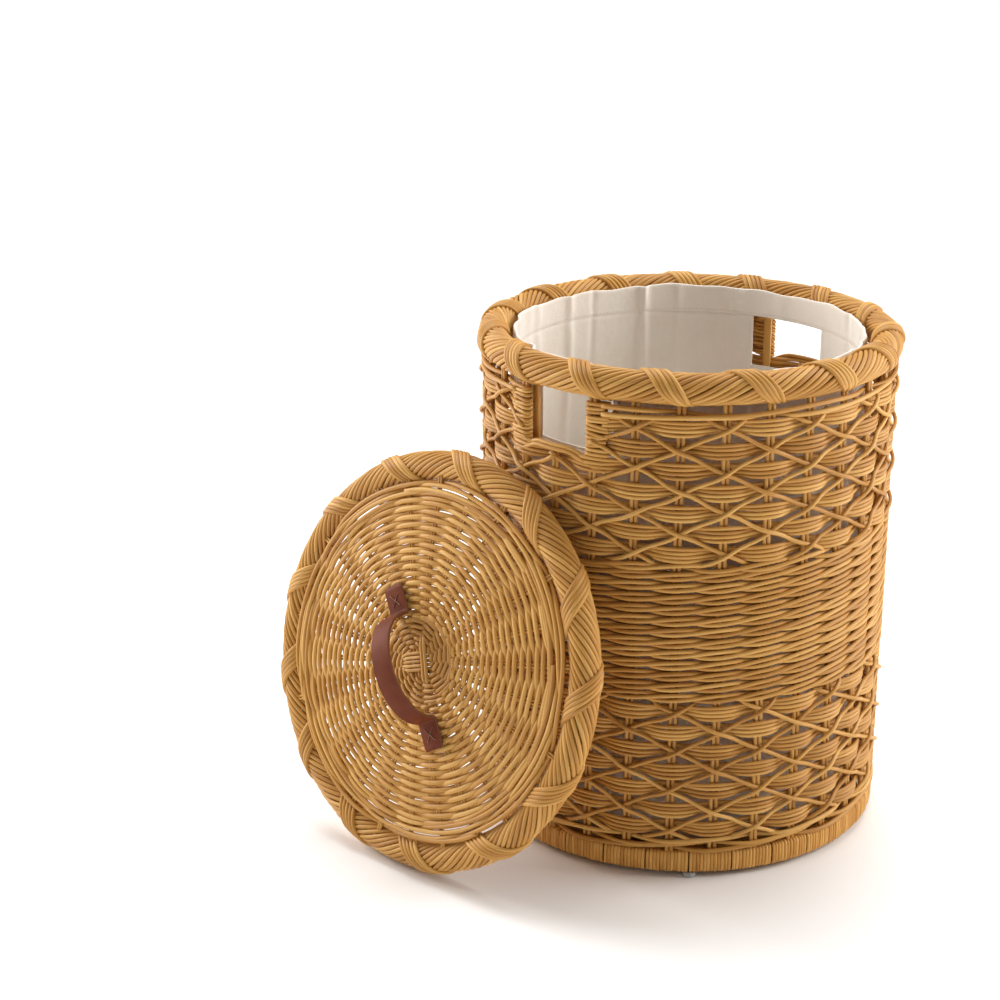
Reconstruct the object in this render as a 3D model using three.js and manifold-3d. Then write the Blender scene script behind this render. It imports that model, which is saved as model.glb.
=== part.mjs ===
// Round woven cane laundry basket with a lift-out cotton liner and a loose woven lid.
// Millimetres, +Z up. The two hand holes face -Y and +Y, and the lid leans on the -Y side.
import * as THREE from 'three'
import { mergeVertices } from 'three/addons/utils/BufferGeometryUtils.js'
import Module from 'manifold-3d'

const wasm = await Module()
wasm.setup()

// Driving dimensions
const GAP = 0.3
const CUT_OVERRUN = 5
const HOOP_PLAY = 1
const RING_SEGMENTS = 40
const STAKES = 30
const STAKE_STEP = (2 * Math.PI) / STAKES
const STAKE_RADIUS = 188.5
const STAKE_WIDTH = 6.6
const STAKE_DEPTH = 3.2
const WALL_OUTER = 195.8
const WALL_INNER = 183.3
const CLOSE_OUTER = 194.8
const CLOSE_INNER = 182.3

const RIM_OUTER = 200
const BORDER_TUBE = 16.5
const BORDER_SIDES = 12
const CHANNEL_HALF = 2.4
const HOOP_RADIUS = 2
const BASKET_HEIGHT = 483
const RIM_LEVEL = BASKET_HEIGHT - BORDER_TUBE

// Heights of the bands of weave, from the floor
const GLIDE_HEIGHT = 4.5
const FOOT_TOP = 26
const LOWER_WALE_TOP = 40
const LOWER_OPEN_TOP = 175
const CLOSE_TOP = 307.5
const UPPER_OPEN_TOP = 441.5
const UPPER_WALE_TOP = 449.5
const STAKE_BOTTOM = 17
const STAKE_TOP = 459

const FOOT_OUTER = 193
const FOOT_INNER = 181
const BASE_RADIUS = 180.5
const BASE_BOTTOM = 10
const BASE_TOP = 20
const GLIDE_ANGLE = (42 * Math.PI) / 180
const GLIDE_RADIUS = 6.5
const GLIDE_CHAMFER = 1.5

const HOLE_WIDTH = 65
const HOLE_SILL = 399

const LINER_OUTER = 165
const LINER_CLOTH = 2.4
const LINER_BOTTOM = BASE_TOP + GAP
const HEM_BOTTOM = 448
const HEM_TOP = 476
const HEM_OUTER = 165.8
const HEM_INNER = 161.6
const WINDOW_WIDTH = 88
const WINDOW_SILL = 394
const WINDOW_TOP = HEM_BOTTOM - 5

const LID_OUTER = 196
const LID_HOLE = LID_OUTER - 2 * BORDER_TUBE
const LID_WALE_INNER = 150
const LID_WALE_OUTER = LID_HOLE - 1
const LID_WALE_BOTTOM = 23
const LID_DISC_BOTTOM = 24
const LID_DISC_TOP = 32
const LID_CROWN = 5
const LID_FLAT_RADIUS = 95
const LID_LEAN = (15 * Math.PI) / 180
const LID_SIDEWAYS = -90
const LID_CLEARANCE = 0.8

const STRAP_MIDDLE_X = -2
const STRAP_MIDDLE_Y = -6
const STRAP_TURN = (33 * Math.PI) / 180
const STRAP_SPAN = 128
const STRAP_TAB = 28
const STRAP_WIDTH = 22
const STRAP_THICKNESS = 3
const STRAP_RISE = 40
const STRAP_ARCH_POWER = 0.4
const STITCH_REACH = 7
const STITCH_HALF = 0.6
const STITCH_HEIGHT = 0.8

const material = (color, roughness) => new THREE.MeshStandardMaterial({ color, roughness, metalness: 0 })
const cane = material(0xc4925a, 0.55)
const wrapCane = material(0xb98a50, 0.6)
const core = material(0x8f6a3c, 0.8)
const cotton = material(0xe4dfd6, 0.9)
const leather = material(0x7a4030, 0.6)
const thread = material(0xd8c8ac, 0.8)
const clearPlastic = material(0xe8e6e0, 0.3)

const model = new THREE.Group()
const basket = new THREE.Group()
const liner = new THREE.Group()
const lid = new THREE.Group()
model.add(basket, liner, lid)

function addPart(group, name, geometry, finish) {
  const mesh = new THREE.Mesh(geometry, finish)
  mesh.name = name
  group.add(mesh)
  return mesh
}

// A ring or disc about Z from a closed outline of [radius, height] points, anticlockwise.
function turned(outline, segments = RING_SEGMENTS) {
  const points = outline.map(([radius, height]) => new THREE.Vector2(radius, height))
  return new THREE.LatheGeometry(points, segments).rotateX(Math.PI / 2)
}

function ring(inner, outer, bottom, top, segments) {
  const corners = [[inner, bottom], [outer, bottom], [outer, top], [inner, top], [inner, bottom]]
  return turned(corners, segments)
}

function solidOf(geometry) {
  const bare = new THREE.BufferGeometry()
  bare.setAttribute('position', geometry.getAttribute('position'))
  bare.setIndex(geometry.getIndex())
  const merged = mergeVertices(bare, 1e-3)
  const vertProperties = new Float32Array(merged.getAttribute('position').array)
  const triVerts = new Uint32Array(merged.getIndex().array)
  return new wasm.Manifold(new wasm.Mesh({ numProp: 3, vertProperties, triVerts }))
}

function geometryOf(solid) {
  const mesh = solid.getMesh()
  const geometry = new THREE.BufferGeometry()
  geometry.setAttribute('position', new THREE.BufferAttribute(new Float32Array(mesh.vertProperties), 3))
  geometry.setIndex(new THREE.BufferAttribute(new Uint32Array(mesh.triVerts), 1))
  geometry.computeVertexNormals()
  return geometry
}

function cutAll(geometry, cutters) {
  let solid = solidOf(geometry)
  for (const cutter of cutters) {
    solid = solid.subtract(solidOf(cutter))
  }
  return geometryOf(solid)
}

function block(width, depth, bottom, top) {
  return new THREE.BoxGeometry(width, depth, top - bottom).translate(0, 0, (bottom + top) / 2)
}

// Stake 0 stands at -Y, and the numbers run anticlockwise seen from above.
const stakeAngle = (index) => index * STAKE_STEP
const atStake = (geometry, index) => geometry.translate(0, -STAKE_RADIUS, 0).rotateZ(stakeAngle(index))

function stakeSlots(indices, bottom, top) {
  const width = STAKE_WIDTH + 2 * GAP
  const depth = STAKE_DEPTH + 2 * GAP
  const low = bottom - CUT_OVERRUN
  const high = top + CUT_OVERRUN
  return indices.map((index) => atStake(block(width, depth, low, high), index))
}

const allStakes = Array.from({ length: STAKES }, (_, index) => index)
const shortStakes = [0, STAKES / 2]
const fullStakes = allStakes.filter((index) => !shortStakes.includes(index))

// The hand holes, as blocks that pass through both sides of the wall.
const handHoles = () => block(HOLE_WIDTH, 2 * (RIM_OUTER + CUT_OVERRUN), HOLE_SILL, RIM_LEVEL)

// Walls
function buildWall() {
  const wale = ring(WALL_INNER, WALL_OUTER, UPPER_OPEN_TOP + GAP, UPPER_WALE_TOP)
  const slots = stakeSlots(fullStakes, UPPER_OPEN_TOP, UPPER_WALE_TOP)
  const waleArcs = solidOf(cutAll(wale, [...slots, handHoles()])).decompose()
  for (const arc of waleArcs) {
    const box = arc.boundingBox()
    const side = box.min[0] + box.max[0] < 0 ? 'left' : 'right'
    addPart(basket, `upper_wale_${side}`, geometryOf(arc), cane)
  }

  const upper = ring(WALL_INNER, WALL_OUTER, CLOSE_TOP + GAP, UPPER_OPEN_TOP)
  const upperSlots = stakeSlots(allStakes, CLOSE_TOP, UPPER_OPEN_TOP)
  addPart(basket, 'upper_open_weave', cutAll(upper, [...upperSlots, handHoles()]), cane)

  const close = ring(CLOSE_INNER, CLOSE_OUTER, LOWER_OPEN_TOP + GAP, CLOSE_TOP)
  const closeSlots = stakeSlots(allStakes, LOWER_OPEN_TOP, CLOSE_TOP)
  addPart(basket, 'middle_close_weave', cutAll(close, closeSlots), cane)

  const lower = ring(WALL_INNER, WALL_OUTER, LOWER_WALE_TOP + GAP, LOWER_OPEN_TOP)
  const lowerSlots = stakeSlots(allStakes, LOWER_WALE_TOP, LOWER_OPEN_TOP)
  addPart(basket, 'lower_open_weave', cutAll(lower, lowerSlots), cane)

  const lowerWale = ring(WALL_INNER, WALL_OUTER, FOOT_TOP + GAP, LOWER_WALE_TOP)
  const lowerWaleSlots = stakeSlots(allStakes, FOOT_TOP, LOWER_WALE_TOP)
  addPart(basket, 'lower_wale', cutAll(lowerWale, lowerWaleSlots), cane)
}

function buildStakes() {
  fullStakes.forEach((index, order) => {
    const bar = atStake(block(STAKE_WIDTH, STAKE_DEPTH, STAKE_BOTTOM, STAKE_TOP), index)
    addPart(basket, `stake_pair_${String(order + 1).padStart(2, '0')}`, bar, cane)
  })
  const names = ['short_stake_front', 'short_stake_back']
  shortStakes.forEach((index, order) => {
    const bar = atStake(block(STAKE_WIDTH, STAKE_DEPTH, STAKE_BOTTOM, HOLE_SILL), index)
    addPart(basket, names[order], bar, cane)
  })
}

// A round border with a channel that opens at `mouth` radians round its section.
// The channel reaches past the middle of the section, where the hoop lies.
function borderOutline(radius, level, tube, mouth, channelOffset) {
  const half = CHANNEL_HALF
  const along = new THREE.Vector2(Math.cos(mouth), Math.sin(mouth))
  const across = new THREE.Vector2(-along.y, along.x)
  const local = (a, c) => [radius + along.x * a + across.x * c, level + along.y * a + across.y * c]
  const lipAt = (c) => Math.sqrt(tube * tube - c * c)
  const first = channelOffset + half
  const last = channelOffset - half
  const start = Math.atan2(first, lipAt(first))
  const end = Math.atan2(last, lipAt(last)) + 2 * Math.PI
  const outline = []
  for (let step = 0; step <= BORDER_SIDES; step += 1) {
    const turn = start + ((end - start) * step) / BORDER_SIDES
    outline.push(local(tube * Math.cos(turn), tube * Math.sin(turn)))
  }
  const depth = -HOOP_RADIUS - HOOP_PLAY
  outline.push(local(depth, last))
  outline.push(local(depth, first))
  outline.push(outline[0])
  return outline
}

function hoopOutline(radius, level) {
  const sides = 6
  const outline = []
  for (let step = 0; step <= sides; step += 1) {
    const turn = (2 * Math.PI * (step % sides)) / sides
    outline.push([radius + HOOP_RADIUS * Math.cos(turn), level + HOOP_RADIUS * Math.sin(turn)])
  }
  return outline
}

function buildRim() {
  const radius = RIM_OUTER - BORDER_TUBE
  const down = -Math.PI / 2
  const offset = STAKE_RADIUS - radius
  addPart(basket, 'rim_border', turned(borderOutline(radius, RIM_LEVEL, BORDER_TUBE, down, offset)), cane)
  addPart(basket, 'rim_hoop', turned(hoopOutline(STAKE_RADIUS, RIM_LEVEL)), core)
}

function buildFoot() {
  const inner = FOOT_INNER
  const outer = FOOT_OUTER
  const left = STAKE_RADIUS - CHANNEL_HALF
  const right = STAKE_RADIUS + CHANNEL_HALF
  const hoopLevel = STAKE_BOTTOM - HOOP_RADIUS - HOOP_PLAY
  const floor = hoopLevel - HOOP_RADIUS - HOOP_PLAY
  const round = 3
  const outline = [
    [inner, GLIDE_HEIGHT + GAP + round], [inner + round, GLIDE_HEIGHT + GAP],
    [outer - round, GLIDE_HEIGHT + GAP], [outer, GLIDE_HEIGHT + GAP + round],
    [outer, FOOT_TOP], [right, FOOT_TOP], [right, floor], [left, floor], [left, FOOT_TOP],
    [inner, FOOT_TOP], [inner, GLIDE_HEIGHT + GAP + round],
  ]
  addPart(basket, 'foot_ring_wrap', turned(outline), wrapCane)
  addPart(basket, 'foot_hoop', turned(hoopOutline(STAKE_RADIUS, hoopLevel)), core)
  const mat = [[0, BASE_BOTTOM], [BASE_RADIUS, BASE_BOTTOM], [BASE_RADIUS, BASE_TOP], [0, BASE_TOP]]
  addPart(basket, 'base_mat', turned(mat), cane)

  const angles = [-GLIDE_ANGLE, GLIDE_ANGLE, Math.PI - GLIDE_ANGLE, Math.PI + GLIDE_ANGLE]
  const glideOutline = [
    [0, 0], [GLIDE_RADIUS - GLIDE_CHAMFER, 0], [GLIDE_RADIUS, GLIDE_CHAMFER],
    [GLIDE_RADIUS, GLIDE_HEIGHT], [0, GLIDE_HEIGHT],
  ]
  angles.forEach((angle, index) => {
    const glide = turned(glideOutline, 16).translate(0, -(FOOT_INNER + FOOT_OUTER) / 2, 0).rotateZ(angle)
    addPart(basket, `glide_${index + 1}`, glide, clearPlastic)
  })
}

function buildLiner() {
  const inner = LINER_OUTER - LINER_CLOTH
  const wall = ring(inner, LINER_OUTER, LINER_BOTTOM, HEM_BOTTOM - GAP)
  const windows = block(WINDOW_WIDTH, 2 * RIM_OUTER, WINDOW_SILL, WINDOW_TOP)
  addPart(liner, 'liner_wall', cutAll(wall, [windows]), cotton)
  addPart(liner, 'liner_hem', ring(HEM_INNER, HEM_OUTER, HEM_BOTTOM, HEM_TOP), cotton)
  const radius = inner * Math.cos(Math.PI / RING_SEGMENTS) - GAP
  const top = LINER_BOTTOM + LINER_CLOTH
  addPart(liner, 'liner_base', turned([[0, LINER_BOTTOM], [radius, LINER_BOTTOM], [radius, top], [0, top]]), cotton)
}

// Lid parts lie in the lid's own frame, with +Z out of its top face.
function buildLidDisc() {
  const crownTop = LID_DISC_TOP + LID_CROWN
  const edge = LID_WALE_INNER - GAP
  const disc = [
    [0, LID_DISC_BOTTOM + LID_CROWN], [LID_FLAT_RADIUS, LID_DISC_BOTTOM + LID_CROWN],
    [edge, LID_DISC_BOTTOM], [edge, LID_DISC_TOP], [LID_FLAT_RADIUS, crownTop], [0, crownTop],
  ]
  addPart(lid, 'lid_disc', turned(disc), cane)
  addPart(lid, 'lid_wale_ring', ring(LID_WALE_INNER, LID_WALE_OUTER, LID_WALE_BOTTOM, LID_DISC_TOP), cane)
  const radius = LID_OUTER - BORDER_TUBE
  addPart(lid, 'lid_border', turned(borderOutline(radius, 0, BORDER_TUBE, Math.PI, 0)), cane)
  addPart(lid, 'lid_hoop', turned(hoopOutline(radius, 0)), core)
}

// The strap's side outline: flat tabs at both ends and an arch between them.
function buildStrap() {
  const base = LID_DISC_TOP + LID_CROWN + GAP
  const tabEnd = STRAP_SPAN / 2 + STRAP_TAB / 2
  const tabRoot = STRAP_SPAN / 2 - STRAP_TAB / 2
  const steps = 12
  const heightAt = (x) => STRAP_RISE * Math.max(0, 1 - (x / tabRoot) ** 2) ** STRAP_ARCH_POWER
  const lower = [[-tabEnd, 0]]
  const upper = [[-tabEnd, STRAP_THICKNESS]]
  for (let step = 0; step <= steps; step += 1) {
    const x = -tabRoot * Math.cos((Math.PI * step) / steps)
    const y = heightAt(x)
    const atTab = step === 0 || step === steps
    const slope = atTab ? 0 : Math.atan2(heightAt(x + 1) - heightAt(x - 1), 2)
    lower.push([x, y])
    upper.push([x - STRAP_THICKNESS * Math.sin(slope), y + STRAP_THICKNESS * Math.cos(slope)])
  }
  lower.push([tabEnd, 0])
  upper.push([tabEnd, STRAP_THICKNESS])
  const outline = [...lower, ...upper.reverse()].map(([x, y]) => new THREE.Vector2(x, y))
  const side = new THREE.Shape(outline)
  const strap = new THREE.ExtrudeGeometry(side, { depth: STRAP_WIDTH, bevelEnabled: false })
  strap.translate(0, 0, -STRAP_WIDTH / 2).rotateX(Math.PI / 2).rotateZ(Math.PI / 2 + STRAP_TURN)
  addPart(lid, 'handle_strap', strap.translate(STRAP_MIDDLE_X, STRAP_MIDDLE_Y, base), leather)
  return base + STRAP_THICKNESS + GAP
}

function buildStitches(level) {
  const reach = STITCH_REACH
  const half = STITCH_HALF * Math.SQRT2
  const cross = [
    [0, half], [reach - half, reach], [reach, reach - half], [half, 0], [reach, half - reach],
    [reach - half, -reach], [0, -half], [half - reach, -reach], [-reach, half - reach], [-half, 0],
    [-reach, reach - half], [half - reach, reach],
  ]
  const shape = new THREE.Shape(cross.map(([x, y]) => new THREE.Vector2(x, y)))
  for (const [name, end] of [['stitches_upper', 1], ['stitches_lower', -1]]) {
    const stitch = new THREE.ExtrudeGeometry(shape, { depth: STITCH_HEIGHT, bevelEnabled: false })
    stitch.translate(0, (end * STRAP_SPAN) / 2, 0).rotateZ(STRAP_TURN)
    addPart(lid, name, stitch.translate(STRAP_MIDDLE_X, STRAP_MIDDLE_Y, level), thread)
  }
}

// How far in front of the basket's axis the leaning lid's centre stands, so that its border
// just clears the wall: the nearest point of the border's centre circle decides it.
function lidDistance() {
  const radius = LID_OUTER - BORDER_TUBE
  const reach = WALL_OUTER + BORDER_TUBE + LID_CLEARANCE
  let distance = 0
  for (let degree = 0; degree < 360; degree += 1) {
    const turn = (degree * Math.PI) / 180
    const x = LID_SIDEWAYS + radius * Math.cos(turn)
    const back = radius * Math.sin(turn) * Math.sin(LID_LEAN)
    if (Math.abs(x) < reach) {
      distance = Math.max(distance, back + Math.sqrt(reach * reach - x * x))
    }
  }
  return distance
}

buildWall()
buildStakes()
buildRim()
buildFoot()
buildLiner()
buildLidDisc()
buildStitches(buildStrap())

const lidLevel = (LID_OUTER - BORDER_TUBE) * Math.cos(LID_LEAN) + BORDER_TUBE
lid.position.set(LID_SIDEWAYS, -lidDistance(), lidLevel)
lid.rotation.x = Math.PI / 2 - LID_LEAN

// The origin is the middle of the whole object's box, on the floor.
model.updateMatrixWorld(true)
const box = new THREE.Box3().setFromObject(model, true)
model.position.set(-(box.min.x + box.max.x) / 2, -(box.min.y + box.max.y) / 2, -box.min.z)
model.updateMatrixWorld(true)

export default model
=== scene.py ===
"""Round woven cane laundry basket with a cotton liner and a woven lid leaning on it (Blender 4.5).

Every cane is a swept mesh. Lengths are in millimetres in the weaving code, and a Place turns
them into metres in the row frame. Angles run from the -Y side, anticlockwise from above.
"""

from math import cos, pi, radians, sin, tau

import bmesh
import bpy
import numpy as np
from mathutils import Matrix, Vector


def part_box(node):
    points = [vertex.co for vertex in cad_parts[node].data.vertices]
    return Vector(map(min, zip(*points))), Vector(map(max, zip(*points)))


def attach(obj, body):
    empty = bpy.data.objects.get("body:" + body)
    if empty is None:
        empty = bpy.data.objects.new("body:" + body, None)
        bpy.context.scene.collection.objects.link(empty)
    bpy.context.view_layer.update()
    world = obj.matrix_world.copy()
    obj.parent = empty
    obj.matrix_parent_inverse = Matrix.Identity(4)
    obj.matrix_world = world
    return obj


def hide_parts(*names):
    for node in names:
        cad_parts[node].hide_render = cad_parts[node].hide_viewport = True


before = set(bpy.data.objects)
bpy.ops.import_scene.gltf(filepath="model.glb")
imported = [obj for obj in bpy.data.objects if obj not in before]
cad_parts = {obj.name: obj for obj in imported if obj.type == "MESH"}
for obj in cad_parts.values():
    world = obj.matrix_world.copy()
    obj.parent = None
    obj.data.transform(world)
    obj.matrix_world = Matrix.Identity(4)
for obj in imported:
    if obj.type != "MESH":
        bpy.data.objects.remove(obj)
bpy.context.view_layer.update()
random = np.random.default_rng(616)

MM = 0.001
UP = np.array([0.0, 0.0, 1.0])

# Stakes
STAKES = 30
STAKE_STEP = tau / STAKES
STAKE_RADIUS = 188.5
STAKE_CANE = 3.8
STAKE_GAP = 2.15
STAKE_BOTTOM = 17.0
STAKE_TOP = 459.0
SHORT_STAKES = (0, 15)

# Heights of the bands of weave
FOOT_BOTTOM = 4.8
FOOT_TOP = 26.0
LOWER_WALE_TOP = 40.0
LOWER_OPEN_TOP = 175.0
CLOSE_TOP = 307.5
UPPER_OPEN_TOP = 441.5
RIM_LEVEL = 466.5
SILL = 400.0
UPPER_WALE_LEVELS = (442.0, 446.3)
LOWER_WALE_LEVELS = (28.6, 33.0, 37.4)
WALE_MIDDLE = 188.6
WALE_REACH = 3.9
WALE_CANE = 4.7

# Hand holes, in stake steps from the middle of the hole unless they are lengths
HOLE_ROW_END = 1.25
HOLE_HALF = 0.9
ARCH_HALF = 1.35
ARCH_DROP = 13.0
ARCH_RADIUS = 192.3
EDGE_REACH = 4.2
EDGE_DEPTH = 3.7
EDGE_PITCH = 3.75
EDGE_CANE = 3.5
UPRIGHT_RADIUS = 178.6
UPRIGHT_WIDTH = 8
UPRIGHT_DEPTH = 3

# Open weave: slabs of four canes over and under the stakes, with crossed single canes on top
OPEN_ROWS = 7
SLAB_CANES = 4
SLAB_CANE = 3.9
SLAB_PITCH = 3.95
SLAB_PITCH_BEHIND = 3.1
SLAB_FRONT = 191.9
SLAB_BEHIND = 183.8
CROSS_CANE = 4.0
CROSS_LOW = 190.6
CROSS_OVER_STAKE = 1.3
CROSS_OVER_CANE = 2.9
CROSS_FIRST_ROW = -0.72
CROSS_LAST_ROW = OPEN_ROWS - 0.45
CROSS_TUCK = 6

# Close weave: three rods, each over two stakes and behind one
CLOSE_CANE = 4.4
CLOSE_PERIOD = 10.6
CLOSE_ROUNDS = 12
CLOSE_MIDDLE = 188.5
CLOSE_REACH = 3.9

# Rolled borders of the basket and of the lid
BORDER_TUBE = 16.5
UNDER_CANES = 16
UNDER_CANE = 4.2
UNDER_TURNS = 8
UNDER_TUBE = 12.2
BAND_LANES = 5
BAND_CANE = 4.1
BAND_TUBE = 14.7
RIM_RADIUS = 183.5
RIM_BANDS = 15
RIM_PHASE = radians(5)
RIM_ADVANCE = 30.0
LID_BORDER_RADIUS = 179.5
LID_BANDS = 13
# Borders measure angles from -Y and the lid's disc from X, hence the quarter turn.
LID_PHASE = radians(141) + pi / 2
LID_ADVANCE = 41.0

# Foot and base
FOOT_RADIUS = 187.2
FOOT_HALF_DEPTH = 4.6
FOOT_SQUARENESS = 0.5
WRAPS_PER_STAKE = 12
BASE_LEVEL = 15.0
BASE_SPOKES = 20
BASE_SPOKE = 3.0
BASE_SPOKE_START = 14
BASE_SPOKE_END = 179
BASE_WEAVE_START = 22
BASE_WEAVE_END = 177
BASE_PITCH = 7.8
BASE_CANE = 3.9
BASE_SLANT = 1.9
BASE_LIFT = 2.9
BASE_CROSS_REACH = 20.0
BASE_CROSS_LANES = 7
BASE_CROSS_LAYER = 1.8
GLIDE_PROFILE = [(0.7, 0.0), (0.9, 0.09), (1.0, 0.3), (1.0, 0.7), (0.93, 0.92), (0.8, 1.0)]
GLIDE_SIDES = 28

# Lid
LID_LEAN = radians(15)
LID_SPOKES = 26
LID_SPOKE_END = 172.0
LID_ROW_PITCH = 7.6
LID_WEAVE_START = 40.0
LID_WEAVE_END = 149.3
LID_STRAND = 5.1
LID_STRAND_DEPTH = 4.2
LID_SPOKE = 2.6
LID_LIFT = 1.75
LID_RING_CANE = 4.3
LID_RING_START = 13.5
LID_RING_PITCH = 5.6
LID_RING_SLANT = 1.5
LID_EDGE_LEVEL = 26.5
LID_CROWN = 5.0
LID_FLAT_RADIUS = 95.0
LID_WALE_START = 152.8
LID_WALE_STEP = 3.9
LID_WALE_STRANDS = 4
LID_WALE_REACH = 2.6
LID_WALE_CANE = 4.6
CENTRE_TURN = radians(20)
CENTRE_LANES = 5
CENTRE_PITCH = 3.8
CENTRE_CANE = 3.5
CENTRE_REACH = 27
CENTRE_RISE = 3.2

# Strap
STRAP_MIDDLE = (-2.0, -6.0)
STRAP_TURN = radians(33)
STRAP_SPAN = 128.0
STRAP_TAB = 28.0
STRAP_WIDTH = 22.0
STRAP_THICKNESS = 3.0
STRAP_RISE = 40.0
STRAP_BASE = 37.3

# Liner
LINER_RADIUS = 164.9
LINER_BOTTOM = 20.6
HEM_BOTTOM = 448.0
HEM_TOP = 475.5
WINDOW_SILL = 394.0
LINER_COLUMNS = 590
WINDOW_COLUMNS = 25
LINER_ROWS = 64
LINER_CLOTH = 0.8
LINER_BELLY = 7.0
HEM_CLOTH = 2.0
PLEATS = 26
HEM_STEPS = 600
HEM_STITCHES = 260
HEM_FOLD_SHARE = 0.85
TRIM_WIDTH = 5
TRIM_DEPTH = 1.3
LINER_BASE_RADIUS = 160.6

# Camera and lights
CAMERA_HEIGHT = 0.9856
CAMERA_TO_AXIS = (1.1865, -1.5565)
CAMERA_AZIMUTH = radians(42.5)
CAMERA_PITCH = radians(19.33)
CAMERA_LENS = 77.41
FLOOR_REACH = 30
BOX_SIZE = 1.5
BOX_COLOUR = (1, 0.98, 0.95)


def unit(vectors):
    """Vectors of length one."""
    return vectors / np.linalg.norm(vectors, axis=-1, keepdims=True)


def smooth(low, high, value):
    """0 below low, 1 above high, and smooth between them."""
    t = np.clip((value - low) / (high - low), 0, 1)
    return t * t * (3 - 2 * t)


class Place:
    """A local frame in millimetres, set in the row frame in metres, and the body that it moves with."""

    def __init__(self, body, origin, axes=np.eye(3)):
        self.body = body
        self.origin = np.array(origin, float)
        self.axes = np.array(axes, float)

    def world(self, points):
        return self.origin + MM * (points @ self.axes)


def middle(node):
    """The middle of a node's box."""
    low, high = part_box(node)
    return (low + high) / 2


rim_middle = middle("rim_border")
BASKET = Place("basket", (rim_middle.x, rim_middle.y, 0))
LID_AXES = [
    (1, 0, 0),
    (0, sin(LID_LEAN), cos(LID_LEAN)),
    (0, -cos(LID_LEAN), sin(LID_LEAN)),
]
LID = Place("lid", np.array(middle("lid_border")) - MM * BORDER_TUBE * np.array(LID_AXES[2]), LID_AXES)


# Meshes


def oval(width, depth=None, sides=6):
    """The outline of a cane's section, as points (across, outward). It is round unless it has a depth."""
    depth = depth or width
    turn = np.arange(sides) * tau / sides
    return np.stack([width / 2 * np.cos(turn), depth / 2 * np.sin(turn)], axis=1)


def rounded_strip(width, depth, corner, steps=3):
    """The outline of a flat strip with rounded corners."""
    outline = []
    for quarter in range(4):
        across = (width / 2 - corner) * (1 if quarter in (0, 3) else -1)
        outward = (depth / 2 - corner) * (1 if quarter in (0, 1) else -1)
        for step in range(steps):
            turn = (quarter + step / (steps - 1)) * pi / 2
            outline.append((across + corner * cos(turn), outward + corner * sin(turn)))
    return np.array(outline)


def ring_quads(steps, sides, closed=True):
    """The faces of a section carried along a path, which may close on itself."""
    ring = np.arange(steps if closed else steps - 1)[:, None]
    corner = np.arange(sides)[None, :]
    following = (ring + 1) % steps
    turned = (corner + 1) % sides
    near, far = ring * sides, following * sides
    return np.stack([near + corner, far + corner, far + turned, near + turned], axis=-1).reshape(-1, 4)


class Weave:
    """Canes gathered into one mesh. Each point keeps its place on its cane, and the cane's tint."""

    def __init__(self, place):
        self.place = place
        self.points, self.quads, self.canes, self.tints = [], [], [], []
        self.count = 0

    def add(self, path, outward, section, closed=False, scale=None):
        """Carries a section along a path. The section's second axis points outward."""
        steps, sides = len(path), len(section)
        if closed:
            along = np.roll(path, -1, 0) - np.roll(path, 1, 0)
        else:
            along = np.gradient(path, axis=0)
        tangent = unit(along)
        side = unit(np.cross(tangent, outward))
        normal = np.cross(side, tangent)
        size = np.ones(steps) if scale is None else scale
        points = (
            path[:, None]
            + size[:, None, None] * section[None, :, :1] * side[:, None]
            + size[:, None, None] * section[None, :, 1:] * normal[:, None]
        )
        lengths = np.linalg.norm(np.diff(path, axis=0), axis=1)
        distance = np.concatenate([[0], np.cumsum(lengths)])
        cane = np.empty((steps, sides, 3))
        cane[..., 0] = distance[:, None]
        cane[..., 1:] = section[None]
        quads = ring_quads(steps, sides, closed)
        if not closed:
            cap = np.array([[i, i + 1, sides - 2 - i, sides - 1 - i] for i in range(sides // 2 - 1)])
            quads = np.concatenate([quads, cap, cap[:, ::-1] + (steps - 1) * sides])
        self.points.append(points.reshape(-1, 3))
        self.quads.append(quads + self.count)
        self.canes.append(cane.reshape(-1, 3))
        self.tints.append(np.full(steps * sides, random.random()))
        self.count += steps * sides

    def along_wall(self, angle, radius, height, section, closed=False):
        path, outward = on_wall(angle, radius, height)
        self.add(path, outward, section, closed)

    def along_disc(self, angle, radius, height, section):
        path, upward = on_disc(angle, radius, height)
        self.add(path, upward, section)

    def build(self, name):
        points = self.place.world(np.concatenate(self.points))
        cane = np.concatenate(self.canes) * MM
        return quad_object(name, points, np.concatenate(self.quads), cane, np.concatenate(self.tints))


def quad_object(name, points, quads, cane=None, tint=None):
    """A smooth-shaded object made of quads, with its cane and tint kept as attributes."""
    mesh = bpy.data.meshes.new(name)
    mesh.vertices.add(len(points))
    mesh.vertices.foreach_set("co", points.astype(np.float32).ravel())
    mesh.loops.add(quads.size)
    mesh.loops.foreach_set("vertex_index", quads.astype(np.int32).ravel())
    mesh.polygons.add(len(quads))
    mesh.polygons.foreach_set("loop_start", np.arange(0, quads.size, 4, dtype=np.int32))
    mesh.update(calc_edges=True)
    mesh.validate()
    mesh.shade_smooth()
    if cane is not None:
        places = mesh.attributes.new("cane", "FLOAT_VECTOR", "POINT")
        places.data.foreach_set("vector", cane.astype(np.float32).ravel())
    if tint is not None:
        tints = mesh.attributes.new("tint", "FLOAT", "POINT")
        tints.data.foreach_set("value", tint.astype(np.float32))
    thing = bpy.data.objects.new(name, mesh)
    bpy.context.collection.objects.link(thing)
    return thing


def finish_piece(thing, body, slot, material, *nodes):
    """Dresses a piece, sets it on its body and hides the CAD nodes that it stands for."""
    thing.data.materials.clear()
    thing.data.materials.append(material)
    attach(thing, body)
    if nodes:
        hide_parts(*nodes)
    return thing


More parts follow.
